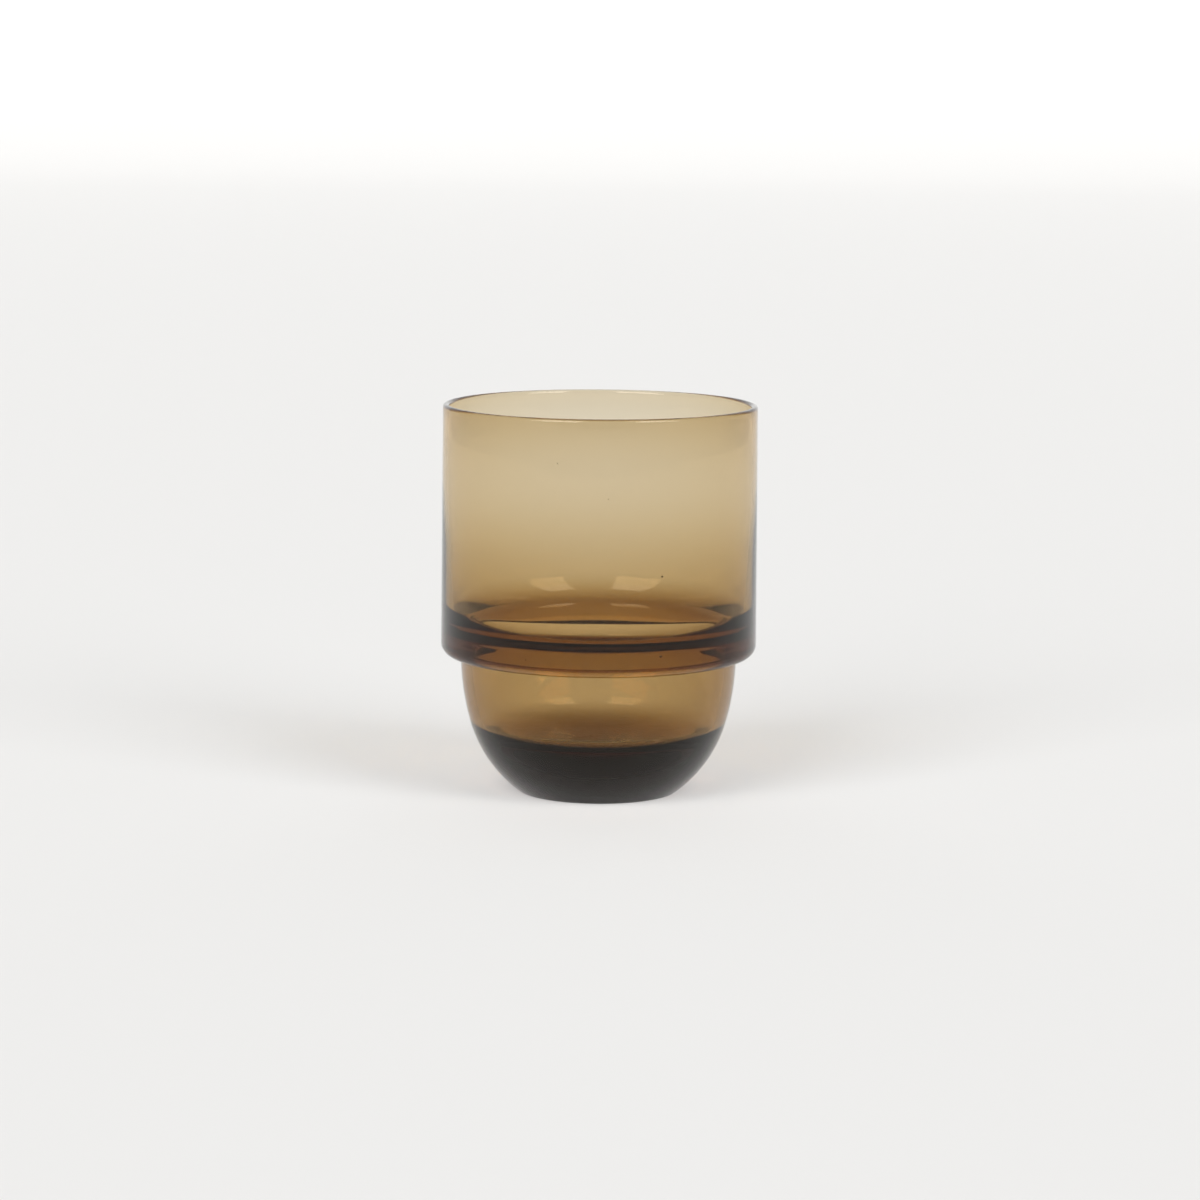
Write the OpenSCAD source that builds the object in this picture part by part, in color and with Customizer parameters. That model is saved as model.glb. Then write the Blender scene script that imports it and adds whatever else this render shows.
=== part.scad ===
// Stackable cortado tumbler, blown in one piece of smoke-brown glass.
// A straight-walled chamber stands on a narrower round bowl, and the flat shoulder between
// them rests on the lip of the next tumbler in a stack.
// The origin is at the centre of the foot, on the surface that it stands on, with +Z up.
// Every size is in millimetres.

/* [Overall] */
// Height from the surface that it stands on to the top of the lip
glass_h = 84.5; // [70:0.5:110]
// Outer diameter at the lip
lip_d = 68; // [62:0.5:80]

/* [Wall] */
// Thickness of the lip, which is rounded over all of it
lip_wall = 2.7; // [2:0.1:3.4]
// Thickness of the wall at its thinnest, below the lip
thin_wall = 0.9; // [0.7:0.1:1.6]
// Radius of the long hollow that eases the lip's thickness into the wall
lip_ease_r = 60; // [40:5:90]
// How much further out than the lip the wall stands at the shoulder
wall_flare = 0.3; // [0:0.1:1]
// Thickness of the wall at the foot of the chamber
shoulder_wall = 2; // [1.6:0.1:2.6]

/* [Shoulder] */
// Height of the shoulder's flat underside
shoulder_z = 29.9; // [26:0.1:31]
// Radius of the rounded edge between the wall and the underside
shoulder_edge_r = 2.6; // [1:0.1:3.4]
// Radius left in the corner where the underside meets the bowl
shoulder_root_r = 0.5; // [0.3:0.1:1]

/* [Bowl outside] */
// Gap all round between the bowl and the lip that it drops into in a stack
stack_gap = 1.3; // [0.8:0.1:2]
// Radius of the bowl's side, seen from the side
bowl_arc_r = 53; // [45:1:70]
// Height at which the side turns in more tightly towards the foot
heel_z = 14.7; // [11:0.1:17]
// Diameter at which the heel would meet the standing surface
foot_d = 34.8; // [30:0.2:40]
// Radius that takes the sharpness off the foot's edge
foot_edge_r = 0.8; // [0.4:0.1:1.5]

/* [Foot underside] */
// Width of the flat ring that it stands on
ring_w = 2.4; // [1.6:0.1:3.5]
// Depth of the hollow inside that ring
punt_depth = 1.1; // [0.5:0.1:2]

/* [Inside] */
// Radius of the hollow at the foot of the chamber's wall
wall_root_r = 12.2; // [10:0.1:14]
// How far that hollow turns before it changes radius towards the mouth of the bowl, in degrees
wall_root_turn = 30; // [15:1:40]
// Radius of the rest of that hollow
ledge_root_r = 5.5; // [3.5:0.1:8]
// Height of the middle of the rounded edge round the mouth of the bowl
mouth_z = 34.2; // [32.5:0.1:36]
// Radius of that edge
mouth_edge_r = 1; // [0.6:0.1:2]
// Thickness of the bowl's side
bowl_wall = 2.2; // [1.6:0.1:2.8]
// Radius between the bowl's inner side and its floor
sump_r = 5; // [3:0.1:8]
// Radius of the floor's dish
floor_arc_r = 60; // [45:5:120]
// Height of the middle of the floor, which is also the thickness of the base
floor_z = 8; // [6.5:0.1:10]

/* [Hidden] */

// Sides of the round surfaces in a preview, and steps along each rounded stretch of the profile
$fn = 180;
arc_steps = 12;

// Radii at the places that the two sides share
lip_r = lip_d / 2;
lip_round_r = lip_wall / 2;
shoulder_r = lip_r + wall_flare;
chamber_r = shoulder_r - shoulder_wall;
bowl_r = lip_r - lip_wall - stack_gap;
bowl_inner_arc_r = bowl_arc_r - bowl_wall;
foot_r = foot_d / 2;

// Centres of the rounded stretches on the outside, from the lip down
lip_c = [lip_r - lip_round_r, glass_h - lip_round_r];
shoulder_edge_c = [shoulder_r - shoulder_edge_r, shoulder_z + shoulder_edge_r];
bowl_c = [bowl_r - bowl_arc_r, shoulder_z];
heel_start = on_arc(bowl_c, bowl_arc_r, -asin((shoulder_z - heel_z) / bowl_arc_r));
heel_r = tangent_radius(heel_start, bowl_c, [foot_r, 0]);
heel_c = heel_start + heel_r * unit(bowl_c - heel_start);
foot_edge_c = resting_centre(heel_c, heel_r, foot_edge_r, 0);
punt_edge_r = foot_edge_c.x - ring_w;
punt_arc_r = (pow(punt_edge_r, 2) + pow(punt_depth, 2)) / (2 * punt_depth);
punt_c = [0, punt_depth - punt_arc_r];

// Centre of the small hollow between the shoulder's underside and the bowl
shoulder_root_z = shoulder_z - shoulder_root_r;
shoulder_root_c = [
    bowl_c.x + sqrt(pow(bowl_arc_r + shoulder_root_r, 2) - pow(shoulder_root_r, 2)),
    shoulder_root_z
];

// Centres of the rounded stretches on the inside, from the lip down. The bowl's inner side
// shares its centre with the outer side.
lip_ease_c = touching_centre(lip_c, lip_round_r, lip_r - thin_wall - lip_ease_r, lip_ease_r, -1);
mouth_edge_c = [
    bowl_c.x + sqrt(pow(bowl_inner_arc_r + mouth_edge_r, 2) - pow(mouth_z - bowl_c.y, 2)),
    mouth_z
];
root_pinch = (wall_root_r - ledge_root_r) * [cos(wall_root_turn), -sin(wall_root_turn)];
ledge_root_x = chamber_r - wall_root_r + root_pinch.x;
ledge_root_c = touching_centre(mouth_edge_c, mouth_edge_r, ledge_root_x, ledge_root_r, 1);
wall_root_c = ledge_root_c - root_pinch;
floor_c = [0, floor_z + floor_arc_r];
sump_c = outer_crossing(bowl_c, bowl_inner_arc_r - sump_r, floor_c, floor_arc_r - sump_r);

// Directions square to the wall's two faces, which run straight between the rounded stretches
wall_out_a = face_angle(lip_c, lip_round_r, shoulder_edge_c, shoulder_edge_r);
wall_in_a = face_angle(lip_ease_c, lip_ease_r, wall_root_c, wall_root_r);

function unit(v) = v / norm(v);

// Direction of one point seen from another
function bearing(from, to) = atan2(to.y - from.y, to.x - from.x);

// Point at an angle on an arc
function on_arc(centre, radius, angle) = centre + radius * [cos(angle), sin(angle)];

// Points along an arc, from one angle to another
function arc(centre, radius, start, end) =
    [for (i = [0 : arc_steps]) on_arc(centre, radius, start + (end - start) * i / arc_steps)];

// Radius of the arc that leaves another at a point, tangent to it, and ends at a second point
function tangent_radius(start, centre, end) =
    pow(norm(end - start), 2) / (2 * (end - start) * unit(centre - start));

// Centre of a small circle that rests on a level and touches the inside of a larger circle
function resting_centre(centre, radius, small_r, level) =
    let (z = level + small_r)
    [centre.x + sqrt(pow(radius - small_r, 2) - pow(z - centre.y, 2)), z];

// Centre of a circle at a given distance from the axis that touches another from outside,
// above it (side 1) or below it (side -1)
function touching_centre(centre, radius, x, other_r, side) =
    [x, centre.y + side * sqrt(pow(radius + other_r, 2) - pow(x - centre.x, 2))];

// Crossing of two circles that is further from the axis. The second centre is above the first.
function outer_crossing(low_c, low_r, top_c, top_r) =
    let (
        run = top_c - low_c,
        along = (pow(low_r, 2) - pow(top_r, 2) + run * run) / (2 * norm(run)),
        ahead = unit(run)
    )
    low_c + ahead * along + [ahead.y, -ahead.x] * sqrt(pow(low_r, 2) - pow(along, 2));

// Angle square to a straight face that touches two circles. A radius is negative where the
// face passes on the axis side of its circle.
function face_angle(top_c, top_r, low_c, low_r) =
    let (run = top_c - low_c)
    atan2(run.y, run.x) - acos((low_r - top_r) / norm(run));

// Half of the tumbler's section, from the middle of the underside out, up and back down inside
function section_points() = concat(
    arc(punt_c, punt_arc_r, 90, bearing(punt_c, [punt_edge_r, 0])),
    arc(foot_edge_c, foot_edge_r, -90, bearing(heel_c, foot_edge_c)),
    arc(heel_c, heel_r, bearing(heel_c, foot_edge_c), bearing(bowl_c, heel_start)),
    arc(bowl_c, bowl_arc_r, bearing(bowl_c, heel_start), bearing(bowl_c, shoulder_root_c)),
    arc(shoulder_root_c, shoulder_root_r, bearing(shoulder_root_c, bowl_c), 90),
    arc(shoulder_edge_c, shoulder_edge_r, -90, wall_out_a),
    arc(lip_c, lip_round_r, wall_out_a, 360 + bearing(lip_c, lip_ease_c)),
    arc(lip_ease_c, lip_ease_r, bearing(lip_ease_c, lip_c), wall_in_a),
    arc(wall_root_c, wall_root_r, wall_in_a, -wall_root_turn),
    arc(ledge_root_c, ledge_root_r, -wall_root_turn, bearing(ledge_root_c, mouth_edge_c)),
    arc(mouth_edge_c, mouth_edge_r, bearing(mouth_edge_c, ledge_root_c),
        360 + bearing(mouth_edge_c, bowl_c)),
    arc(bowl_c, bowl_inner_arc_r, bearing(bowl_c, mouth_edge_c), bearing(bowl_c, sump_c)),
    arc(sump_c, sump_r, bearing(bowl_c, sump_c), bearing(floor_c, sump_c)),
    arc(floor_c, floor_arc_r, bearing(floor_c, sump_c), -90)
);

module tumbler() {
    color([0.62, 0.5, 0.33])
        rotate_extrude()
            polygon(section_points());
}

tumbler();
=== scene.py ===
"""A stackable cortado tumbler of smoke-brown glass on a pale studio floor.

The glass is one piece, so its mesh and the small seeds in it stand for the part's single node.
Lengths in the size fields are in millimetres, and the meshes are made in metres. The floor's
lengths are in metres too.
"""
import logging
import math
from dataclasses import dataclass, field
from typing import Sequence

import bmesh
import bpy
from mathutils import Matrix, Vector


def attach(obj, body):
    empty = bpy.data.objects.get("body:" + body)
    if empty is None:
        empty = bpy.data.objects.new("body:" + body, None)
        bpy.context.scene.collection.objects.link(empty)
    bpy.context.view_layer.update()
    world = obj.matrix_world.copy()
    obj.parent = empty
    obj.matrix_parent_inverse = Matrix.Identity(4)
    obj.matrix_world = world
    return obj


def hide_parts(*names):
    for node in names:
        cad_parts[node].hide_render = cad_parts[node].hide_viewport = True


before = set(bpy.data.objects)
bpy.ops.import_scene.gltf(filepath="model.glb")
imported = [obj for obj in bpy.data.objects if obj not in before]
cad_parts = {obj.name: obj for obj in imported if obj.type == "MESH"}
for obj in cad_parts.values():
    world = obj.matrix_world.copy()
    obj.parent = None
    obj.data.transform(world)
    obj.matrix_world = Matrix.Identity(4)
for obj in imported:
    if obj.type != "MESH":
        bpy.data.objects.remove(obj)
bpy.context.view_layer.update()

LOG = logging.getLogger("tumbler")
MM = 0.001
STANDARD_VIEW = "Standard"
WHITE = (1.0, 1.0, 1.0, 1.0)
# Points of the spun section that are closer than this are one point
WELD = 0.0005 * MM


def link_mesh(mesh: bmesh.types.BMesh, name: str) -> bpy.types.Object:
    """Turns a finished mesh into a smooth object of the scene.

    Args:
        mesh: The mesh, which is freed.
        name: The name of the object and its mesh.

    Returns:
        The object.
    """
    for face in mesh.faces:
        face.smooth = True
    data = bpy.data.meshes.new(name)
    mesh.to_mesh(data)
    mesh.free()
    made = bpy.data.objects.new(name, data)
    bpy.context.scene.collection.objects.link(made)
    return made


def bearing(start: Vector, end: Vector) -> float:
    """Finds the direction from one point of the section to another.

    Args:
        start: The point looked from.
        end: The point looked at.

    Returns:
        The angle from +X towards +Z, in radians.
    """
    run = end - start
    return math.atan2(run.y, run.x)


def on_arc(centre: Vector, radius: float, angle: float) -> Vector:
    """Finds the point at an angle on an arc.

    Args:
        centre: The arc's centre, as (radius from the axis, height).
        radius: The arc's radius.
        angle: The direction of the point from the centre, in radians.

    Returns:
        The point, as (radius from the axis, height).
    """
    return centre + Vector((math.cos(angle), math.sin(angle))) * radius


def resting_centre(centre: Vector, radius: float, small: float, level: float) -> Vector:
    """Finds the centre of a small circle that rests on a level inside a larger circle.

    Args:
        centre: The larger circle's centre.
        radius: The larger circle's radius.
        small: The small circle's radius.
        level: The height that the small circle rests on.

    Returns:
        The small circle's centre.
    """
    height = level + small
    return Vector((centre.x + math.sqrt((radius - small) ** 2 - (height - centre.y) ** 2), height))


def touching_centre(centre: Vector, radius: float, x: float, other: float, side: int) -> Vector:
    """Finds the centre of a circle that touches another from outside.

    Args:
        centre: The other circle's centre.
        radius: The other circle's radius.
        x: The sought centre's distance from the axis.
        other: The sought circle's radius.
        side: 1 where it lies above the other circle, -1 where it lies below.

    Returns:
        The sought centre.
    """
    return Vector((x, centre.y + side * math.sqrt((radius + other) ** 2 - (x - centre.x) ** 2)))


def crossing(first: Vector, first_r: float, second: Vector, second_r: float) -> Vector:
    """Finds where two circles cross, on the side away from the axis.

    Args:
        first: Centre of one circle.
        first_r: Its radius.
        second: Centre of the other circle, above the first.
        second_r: Its radius.

    Returns:
        The crossing further from the axis.
    """
    run = second - first
    along = (first_r ** 2 - second_r ** 2 + run.length_squared) / (2 * run.length)
    off = math.sqrt(first_r ** 2 - along ** 2)
    ahead = run.normalized()
    return first + ahead * along + Vector((ahead.y, -ahead.x)) * off


def face_angle(top: Vector, top_r: float, low: Vector, low_r: float) -> float:
    """Finds the direction square to a straight face that touches two circles.

    Args:
        top: Centre of the upper circle.
        top_r: Its radius, negative where the face passes on the axis side of the circle.
        low: Centre of the lower circle.
        low_r: Its radius, with the same sign rule.

    Returns:
        The direction in radians.
    """
    run = top - low
    return math.atan2(run.y, run.x) - math.acos((low_r - top_r) / run.length)


class Pen:
    """Draws a section in the XZ plane, as a chain of vertices that grows from its tip."""

    def __init__(self, mesh: bmesh.types.BMesh, start: Vector) -> None:
        """Sets the pen down.

        Args:
            mesh: The mesh to draw in.
            start: The first point, in millimetres.
        """
        self.mesh = mesh
        self.tip = mesh.verts.new((start.x * MM, 0.0, start.y * MM))

    def line_to(self, point: Vector, steps: int = 1) -> None:
        """Draws a straight stretch.

        Args:
            point: Where it ends, in millimetres.
            steps: How many edges it has.
        """
        end = Vector((point.x * MM, 0.0, point.y * MM))
        run = (end - self.tip.co) / steps
        for _ in range(steps):
            made = bmesh.ops.extrude_vert_indiv(self.mesh, verts=[self.tip])
            self.tip = made["verts"][0]
            bmesh.ops.translate(self.mesh, verts=[self.tip], vec=run)

    def sweep(self, centre: Vector, start: float, end: float, steps: int) -> None:
        """Draws an arc by spinning the tip about a centre.

        Args:
            centre: The arc's centre, in millimetres.
            start: The direction of the arc's first point, in radians.
            end: The direction of its last point.
            steps: How many edges it has.
        """
        made = bmesh.ops.spin(
            self.mesh, geom=[self.tip], cent=(centre.x * MM, 0.0, centre.y * MM),
            axis=(0.0, -1.0, 0.0), dvec=(0.0, 0.0, 0.0), angle=end - start, steps=steps,
            use_merge=False, use_duplicate=False)
        self.tip = next(v for v in made["geom_last"] if isinstance(v, bmesh.types.BMVert))


@dataclass(frozen=True)
class SmokeGlass:
    """Smoke-brown glass, clear all through, with the colour in its depth and its reflections
    tinted darker as painted shade.
    """

    red_per_mm: float = 0.165
    green_per_mm: float = 0.262
    blue_per_mm: float = 0.478
    ior: float = 1.515
    roughness: float = 0.0
    # Painted shade: a warm tint that dims every reflection, internal ones too, so the thick base
    # and the totally reflecting zones come out darker
    reflection_shade_tint: tuple[float, float, float] = (0.66, 0.6, 0.54)
    # The depth's density over its strongest absorption, which keeps its colour above black
    headroom: float = 1.02

    def material(self) -> bpy.types.Material:
        """Builds the material.

        Returns:
            A glass that takes light by its thickness.
        """
        made = bpy.data.materials.new("smoke_glass")
        made.use_nodes = True
        nodes, links = made.node_tree.nodes, made.node_tree.links
        shader = nodes["Principled BSDF"]
        shader.inputs["Base Color"].default_value = WHITE
        shader.inputs["Roughness"].default_value = self.roughness
        shader.inputs["IOR"].default_value = self.ior
        shader.inputs["Transmission Weight"].default_value = 1.0
        # Painted shade: the tint dims and warms the glass's reflections
        shader.inputs["Specular Tint"].default_value = (*self.reflection_shade_tint, 1.0)
        depth = nodes.new("ShaderNodeVolumeAbsorption")
        density = self.blue_per_mm * self.headroom
        depth.inputs["Color"].default_value = (
            1 - self.red_per_mm / density, 1 - self.green_per_mm / density,
            1 - self.blue_per_mm / density, 1.0)
        depth.inputs["Density"].default_value = density / MM
        links.new(depth.outputs["Volume"], nodes["Material Output"].inputs["Volume"])
        return made


@dataclass
class Tumbler:
    """The whole glass: a straight chamber on a narrower round bowl, with a thick base.

    The outside is the solid's. The inside follows the photograph's refraction, so lip_wall and
    stack_gap aren't the solid's, but their sum is, which keeps the bowl's radius.
    """

    glass_h: float = 84.5
    lip_d: float = 68.0
    lip_wall: float = 1.5
    thin_wall: float = 0.95
    lip_ease_r: float = 250.0
    wall_flare: float = 0.3
    shoulder_wall: float = 2.2
    shoulder_z: float = 29.9
    shoulder_edge_r: float = 2.6
    shoulder_root_r: float = 0.5
    stack_gap: float = 2.5
    bowl_arc_r: float = 53.0
    heel_z: float = 14.7
    foot_d: float = 34.8
    foot_edge_r: float = 0.8
    ring_w: float = 2.4
    punt_depth: float = 1.1
    wall_root_r: float = 7.0
    wall_root_turn: float = 50.0
    ledge_root_r: float = 4.5
    mouth_z: float = 34.2
    mouth_edge_r: float = 1.6
    bowl_wall: float = 2.4
    sump_r: float = 5.1
    floor_arc_r: float = 60.0
    floor_z: float = 8.2
    arc_steps: int = 16
    wall_steps: int = 24
    ring_steps: int = 2
    underside_steps: int = 4
    turns: int = 256

    def draw_section(self, mesh: bmesh.types.BMesh) -> None:
        """Draws half of the section, from the middle of the underside out, up and back down.

        Args:
            mesh: The mesh to draw in.
        """
        n = self.arc_steps
        lip_r, foot_r = self.lip_d / 2, self.foot_d / 2
        round_r = self.lip_wall / 2
        shoulder_r = lip_r + self.wall_flare
        lip_c = Vector((lip_r - round_r, self.glass_h - round_r))
        edge_r = self.shoulder_edge_r
        edge_c = Vector((shoulder_r - edge_r, self.shoulder_z + edge_r))
        bowl_r = lip_r - self.lip_wall - self.stack_gap
        bowl_c = Vector((bowl_r - self.bowl_arc_r, self.shoulder_z))
        heel_drop = self.shoulder_z - self.heel_z
        heel_start = on_arc(bowl_c, self.bowl_arc_r, -math.asin(heel_drop / self.bowl_arc_r))
        chord = Vector((foot_r, 0.0)) - heel_start
        inward = (bowl_c - heel_start).normalized()
        heel_r = chord.length_squared / (2 * chord.dot(inward))
        heel_c = heel_start + inward * heel_r
        foot_c = resting_centre(heel_c, heel_r, self.foot_edge_r, 0.0)
        punt_edge = Vector((foot_c.x - self.ring_w, 0.0))
        punt_r = (punt_edge.x ** 2 + self.punt_depth ** 2) / (2 * self.punt_depth)
        punt_c = Vector((0.0, self.punt_depth - punt_r))
        step_r = self.shoulder_root_r
        step_z = self.shoulder_z - step_r
        step_x = math.sqrt((self.bowl_arc_r + step_r) ** 2 - step_r ** 2)
        step_c = Vector((bowl_c.x + step_x, step_z))
        out_a = face_angle(lip_c, round_r, edge_c, edge_r)

        ease_x = lip_r - self.thin_wall - self.lip_ease_r
        ease_c = touching_centre(lip_c, round_r, ease_x, self.lip_ease_r, -1)
        side_r = self.bowl_arc_r - self.bowl_wall
        mouth_x = math.sqrt((side_r + self.mouth_edge_r) ** 2 - (self.mouth_z - bowl_c.y) ** 2)
        mouth_c = Vector((bowl_c.x + mouth_x, self.mouth_z))
        turn = math.radians(self.wall_root_turn)
        pinch = (self.wall_root_r - self.ledge_root_r) * Vector((math.cos(turn), -math.sin(turn)))
        ledge_x = shoulder_r - self.shoulder_wall - self.wall_root_r + pinch.x
        ledge_c = touching_centre(mouth_c, self.mouth_edge_r, ledge_x, self.ledge_root_r, 1)
        root_c = ledge_c - pinch
        in_a = face_angle(ease_c, self.lip_ease_r, root_c, self.wall_root_r)
        dish_c = Vector((0.0, self.floor_z + self.floor_arc_r))
        sump_c = crossing(bowl_c, side_r - self.sump_r, dish_c, self.floor_arc_r - self.sump_r)

        half, full = math.pi / 2, 2 * math.pi
        pen = Pen(mesh, Vector((0.0, self.punt_depth)))
        pen.sweep(punt_c, half, bearing(punt_c, punt_edge), n)
        pen.line_to(Vector((foot_c.x, 0.0)), self.ring_steps)
        pen.sweep(foot_c, -half, bearing(heel_c, foot_c), n // 2)
        pen.sweep(heel_c, bearing(heel_c, foot_c), bearing(bowl_c, heel_start), 2 * n)
        pen.sweep(bowl_c, bearing(bowl_c, heel_start), bearing(bowl_c, step_c), 2 * n)
        pen.sweep(step_c, bearing(step_c, bowl_c), half, n // 2)
        pen.line_to(on_arc(edge_c, edge_r, -half), self.underside_steps)
        pen.sweep(edge_c, -half, out_a, n)
        pen.line_to(on_arc(lip_c, round_r, out_a), self.wall_steps)
        pen.sweep(lip_c, out_a, bearing(lip_c, ease_c) % full, 2 * n)
        pen.sweep(ease_c, bearing(ease_c, lip_c), in_a, n)
        pen.line_to(on_arc(root_c, self.wall_root_r, in_a), self.wall_steps)
        pen.sweep(root_c, in_a, -turn, n)
        pen.sweep(ledge_c, -turn, bearing(ledge_c, mouth_c), n)
        pen.sweep(mouth_c, bearing(mouth_c, ledge_c), bearing(mouth_c, bowl_c) % full, n)
        pen.sweep(bowl_c, bearing(bowl_c, mouth_c), bearing(bowl_c, sump_c), 2 * n)
        pen.sweep(sump_c, bearing(bowl_c, sump_c), bearing(dish_c, sump_c), 2 * n)
        pen.sweep(dish_c, bearing(dish_c, sump_c), -half, 2 * n)

    def build(self) -> bpy.types.Object:
        """Spins the section about the axis into the glass.

        Returns:
            The glass as one closed mesh.
        """
        mesh = bmesh.new()
        self.draw_section(mesh)
        bmesh.ops.spin(
            mesh, geom=mesh.verts[:] + mesh.edges[:], cent=(0.0, 0.0, 0.0), axis=(0.0, 0.0, 1.0),
            dvec=(0.0, 0.0, 0.0), angle=2 * math.pi, steps=self.turns, use_merge=True,
            use_duplicate=False)
        bmesh.ops.remove_doubles(mesh, verts=mesh.verts[:], dist=WELD)
        bmesh.ops.recalc_face_normals(mesh, faces=mesh.faces[:])
        return link_mesh(mesh, "tumbler_glass")

    def dress(self, glass: bpy.types.Object, finish: SmokeGlass) -> None:
        """Gives the glass its material and its place in the part.

        Args:
            glass: The mesh from build.
            finish: The glass's finish.
        """
        glass.data.materials.append(finish.material())
        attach(glass, "root")
        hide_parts("tumbler")


@dataclass(frozen=True)
class SeedShade:
    """Painted shade for a small bubble in the glass: the dark brown it shows because it bends the
    light away.
    """

    # Painted shade: the bubble is a solid dark shell, not clear air
    color: tuple[float, float, float] = (0.06, 0.035, 0.02)
    roughness: float = 0.4

    def material(self) -> bpy.types.Material:
        """Builds the material.

        Returns:
            A plain dark colour, painted shade.
        """
        made = bpy.data.materials.new("seed_shade")
        made.use_nodes = True
        shader = made.node_tree.nodes["Principled BSDF"]
        shader.inputs["Base Color"].default_value = (*self.color, 1.0)
        shader.inputs["Roughness"].default_value = self.roughness
        return made


@dataclass(frozen=True)
class Seed:
    """One small bubble at the front: its place from the axis, and its own size.

    It is `across` to the right of the axis, `out` away from it, and `height` above the floor.
    """

    across: float
    out: float
    height: float
    width: float
    tall: float


@dataclass
class Seeds:
    """The small bubbles that were caught in the glass."""

    seeds: Sequence[Seed] = (
        Seed(13.1, 33.5, 51.4, 0.36, 0.42),
        Seed(12.9, 33.0, 34.4, 0.66, 0.5),
        Seed(-15.0, 33.0, 33.3, 0.34, 0.34),
        Seed(-8.8, 33.6, 75.2, 0.2, 0.24),
        Seed(1.8, 33.6, 67.9, 0.2, 0.22),
        Seed(0.2, 33.6, 64.6, 0.2, 0.2),
    )
    segments: int = 24
    rings: int = 16

    def build(self) -> bpy.types.Object:
        """Makes the bubbles.

        Returns:
            The bubbles as one mesh of closed shells.
        """
        mesh = bmesh.new()
        for seed in self.seeds:
            front = -math.sqrt(seed.out ** 2 - seed.across ** 2)
            place = Matrix.Translation((seed.across * MM, front * MM, seed.height * MM))
            level, upright = seed.width * MM / 2, seed.tall * MM / 2
            size = Matrix.Diagonal((level, level, upright, 1.0))
            bmesh.ops.create_uvsphere(
                mesh, u_segments=self.segments, v_segments=self.rings, radius=1.0,
                matrix=place @ size)
        return link_mesh(mesh, "tumbler_seeds")

    def dress(self, made: bpy.types.Object, finish: SeedShade) -> None:
        """Gives the bubbles their material and their place in the part.

        Args:
            made: The mesh from build.
            finish: How they look.
        """
        made.data.materials.append(finish.material())
        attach(made, "root")
        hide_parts("tumbler")


@dataclass(frozen=True)
class SoftBox:
    """A bright panel of the studio, far enough away to be a patch of directions."""

    azimuth: float
    width: float
    elevation: float
    height: float
    radiance: float
    edge: float = 2.0


class StudioLight:
    """The light round the object: a dim room, a bright backdrop and softboxes in front."""

    def __init__(self, room: float, glow: float, glow_width: float, glow_edge: float,
                 boxes: Sequence[SoftBox]) -> None:
        """Keeps what the studio has.

        Args:
            room: Radiance of the room where nothing is lit.
            glow: Radiance of the lit side behind the object.
            glow_width: How far the glow reaches to each side, in degrees.
            glow_edge: How softly it ends, in degrees.
            boxes: The panels.
        """
        self.room, self.glow, self.glow_width, self.glow_edge = room, glow, glow_width, glow_edge
        self.boxes = boxes

    def _math(self, how: str, *values: object) -> bpy.types.NodeSocket:
        """Adds one sum to the tree.

        Args:
            how: The Math node's operation.
            values: Numbers or sockets that go in.

        Returns:
            The socket with the result.
        """
        node = self.tree.nodes.new("ShaderNodeMath")
        node.operation = how
        for slot, value in zip(node.inputs, values):
            if isinstance(value, (int, float)):
                slot.default_value = value
            else:
                self.tree.links.new(value, slot)
        return node.outputs[0]

    def _window(self, angle: bpy.types.NodeSocket, middle: float, span: float,
                edge: float) -> bpy.types.NodeSocket:
        """Makes a mask that is 1 within a span of angles and falls softly to 0 outside it.

        Args:
            angle: The angle in degrees.
            middle: Middle of the span.
            span: Width of the span.
            edge: Width of the soft edge.

        Returns:
            The socket with the mask.
        """
        away = self._math("SUBTRACT", angle, middle)
        away = self._math("WRAP", away, 180.0, -180.0)
        away = self._math("ABSOLUTE", away)
        fade = self.tree.nodes.new("ShaderNodeMapRange")
        fade.interpolation_type = "SMOOTHSTEP"
        fade.inputs["From Min"].default_value = span / 2 - edge / 2
        fade.inputs["From Max"].default_value = span / 2 + edge / 2
        fade.inputs["To Min"].default_value = 1.0
        fade.inputs["To Max"].default_value = 0.0
        self.tree.links.new(away, fade.inputs["Value"])
        return fade.outputs["Result"]

    def build(self) -> None:
        """Builds the world that lights the scene."""
        world = bpy.data.worlds.new("studio")
        bpy.context.scene.world = world
        world.use_nodes = True
        self.tree = world.node_tree
        nodes, links = self.tree.nodes, self.tree.links
        place = nodes.new("ShaderNodeTexCoord")
        split = nodes.new("ShaderNodeSeparateXYZ")
        links.new(place.outputs["Generated"], split.inputs["Vector"])
        turn = self._math("ARCTAN2", split.outputs["X"], split.outputs["Y"])
        turn = self._math("MULTIPLY", turn, math.degrees(1.0))
        tilt = self._math("ARCSINE", split.outputs["Z"])
        tilt = self._math("MULTIPLY", tilt, math.degrees(1.0))
        lit_side = self._window(turn, 0.0, 2 * self.glow_width, self.glow_edge)
        light = self._math("MULTIPLY", lit_side, self.glow)
        light = self._math("ADD", light, self.room)
        for box in self.boxes:
            patch = self._math(
                "MULTIPLY", self._window(turn, box.azimuth, box.width, box.edge),
                self._window(tilt, box.elevation, box.height, box.edge))
            light = self._math("ADD", light, self._math("MULTIPLY", patch, box.radiance))
        sky = nodes["Background"]
        links.new(light, sky.inputs["Strength"])
        sky.inputs["Color"].default_value = WHITE


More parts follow.
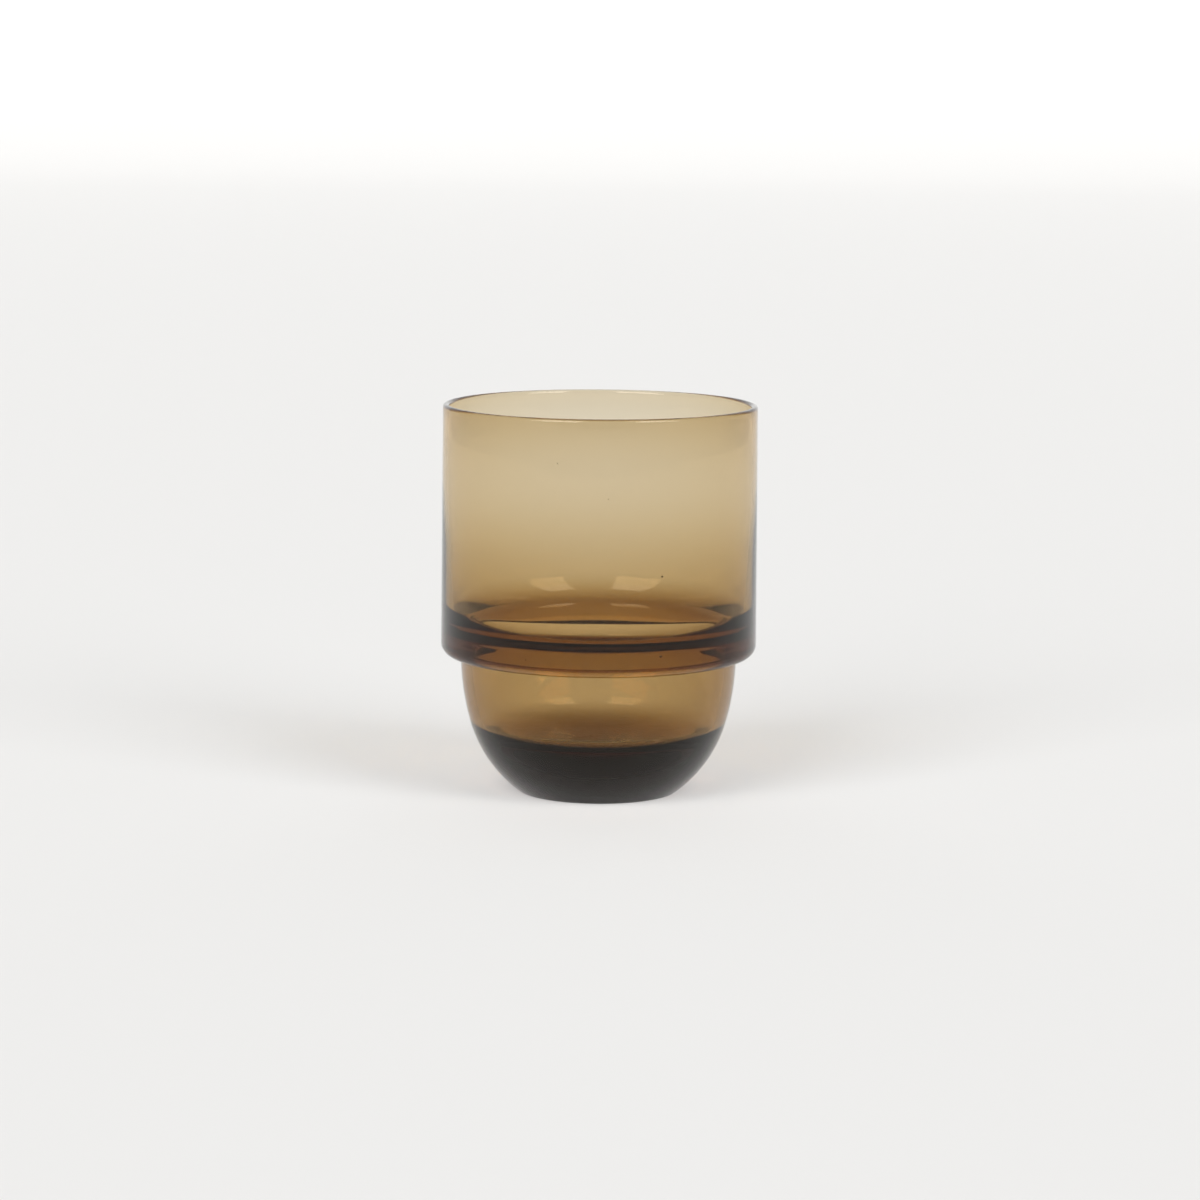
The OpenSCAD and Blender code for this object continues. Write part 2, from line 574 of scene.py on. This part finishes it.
@dataclass
class StudioFloor:
    """A pale floor that sweeps up into the backdrop behind the object."""

    front: float = 1.2
    back: float = 3.2
    side: float = 3.0
    sweep_r: float = 1.5
    sweep_steps: int = 32
    wall_h: float = 2.5
    albedo: tuple[float, float, float] = (0.47, 0.465, 0.455)
    glow: float = 0.335

    def build(self) -> bpy.types.Object:
        """Makes the sweep from a line that is drawn, then pulled sideways.

        Returns:
            The sweep as one mesh.
        """
        mesh = bmesh.new()
        tip = mesh.verts.new((-self.side, -self.front, 0.0))
        made = bmesh.ops.extrude_vert_indiv(mesh, verts=[tip])
        bmesh.ops.translate(mesh, verts=made["verts"], vec=(0.0, self.front + self.back, 0.0))
        made = bmesh.ops.spin(
            mesh, geom=made["verts"], cent=(-self.side, self.back, self.sweep_r),
            axis=(1.0, 0.0, 0.0), dvec=(0.0, 0.0, 0.0), angle=math.pi / 2,
            steps=self.sweep_steps, use_merge=False, use_duplicate=False)
        tip = next(v for v in made["geom_last"] if isinstance(v, bmesh.types.BMVert))
        made = bmesh.ops.extrude_vert_indiv(mesh, verts=[tip])
        bmesh.ops.translate(mesh, verts=made["verts"], vec=(0.0, 0.0, self.wall_h))
        made = bmesh.ops.extrude_edge_only(mesh, edges=mesh.edges[:])
        moved = [v for v in made["geom"] if isinstance(v, bmesh.types.BMVert)]
        bmesh.ops.translate(mesh, verts=moved, vec=(2 * self.side, 0.0, 0.0))
        floor = link_mesh(mesh, "studio_floor")
        paper = bpy.data.materials.new("studio_paper")
        paper.use_nodes = True
        shader = paper.node_tree.nodes["Principled BSDF"]
        shader.inputs["Base Color"].default_value = (*self.albedo, 1.0)
        shader.inputs["Roughness"].default_value = 1.0
        shader.inputs["Specular IOR Level"].default_value = 0.0
        shader.inputs["Emission Color"].default_value = WHITE
        shader.inputs["Emission Strength"].default_value = self.glow
        floor.data.materials.append(paper)
        return floor


@dataclass(frozen=True)
class Photographer:
    """The camera, where the photograph was taken from."""

    distance: float = 818.9
    height: float = 164.3
    pitch: float = 8.514
    roll: float = 0.474
    focal_px: float = 3806.3
    frame_px: float = 1200.0
    right_px: float = -1.15
    down_px: float = -0.13
    sensor: float = 36.0
    reach_m: float = 50.0

    def build(self) -> None:
        """Sets up the scene's camera."""
        lens = bpy.data.cameras.new("photo_camera")
        lens.sensor_width = self.sensor
        lens.lens = self.focal_px / self.frame_px * self.sensor
        lens.shift_x = -self.right_px / self.frame_px
        lens.shift_y = self.down_px / self.frame_px
        lens.clip_end = self.reach_m
        camera = bpy.data.objects.new("photo_camera", lens)
        bpy.context.scene.collection.objects.link(camera)
        camera.matrix_world = (
            Matrix.Translation((0.0, -self.distance * MM, self.height * MM))
            @ Matrix.Rotation(math.radians(90 - self.pitch), 4, "X")
            @ Matrix.Rotation(math.radians(self.roll), 4, "Z"))
        bpy.context.scene.camera = camera


def set_up_look() -> None:
    """Sets how light paths and colours are treated."""
    scene = bpy.context.scene
    scene.view_settings.view_transform = STANDARD_VIEW
    scene.view_settings.look = "None"
    scene.cycles.max_bounces = 32
    scene.cycles.transmission_bounces = 32
    scene.cycles.glossy_bounces = 16
    scene.cycles.diffuse_bounces = 4
    scene.cycles.caustics_reflective = True
    scene.cycles.caustics_refractive = True
    scene.cycles.blur_glossy = 0.2
    scene.cycles.sample_clamp_indirect = 4.0


def main() -> None:
    """Builds the tumbler, its studio and the camera."""
    logging.basicConfig(level=logging.INFO)
    set_up_look()
    Photographer().build()
    StudioLight(room=0.1, glow=0.45, glow_width=50.0, glow_edge=30.0, boxes=(
        SoftBox(azimuth=-147.0, width=38.0, elevation=33.0, height=50.0, radiance=6.5),
        SoftBox(azimuth=135.0, width=31.0, elevation=33.0, height=50.0, radiance=6.5),
    )).build()
    StudioFloor().build()
    tumbler = Tumbler()
    glass = tumbler.build()
    tumbler.dress(glass, SmokeGlass())
    seeds = Seeds()
    bubbles = seeds.build()
    seeds.dress(bubbles, SeedShade())
    for piece in (glass, bubbles):
        LOG.info("%s: %d faces", piece.name, len(piece.data.polygons))


if __name__ == "__main__":
    main()
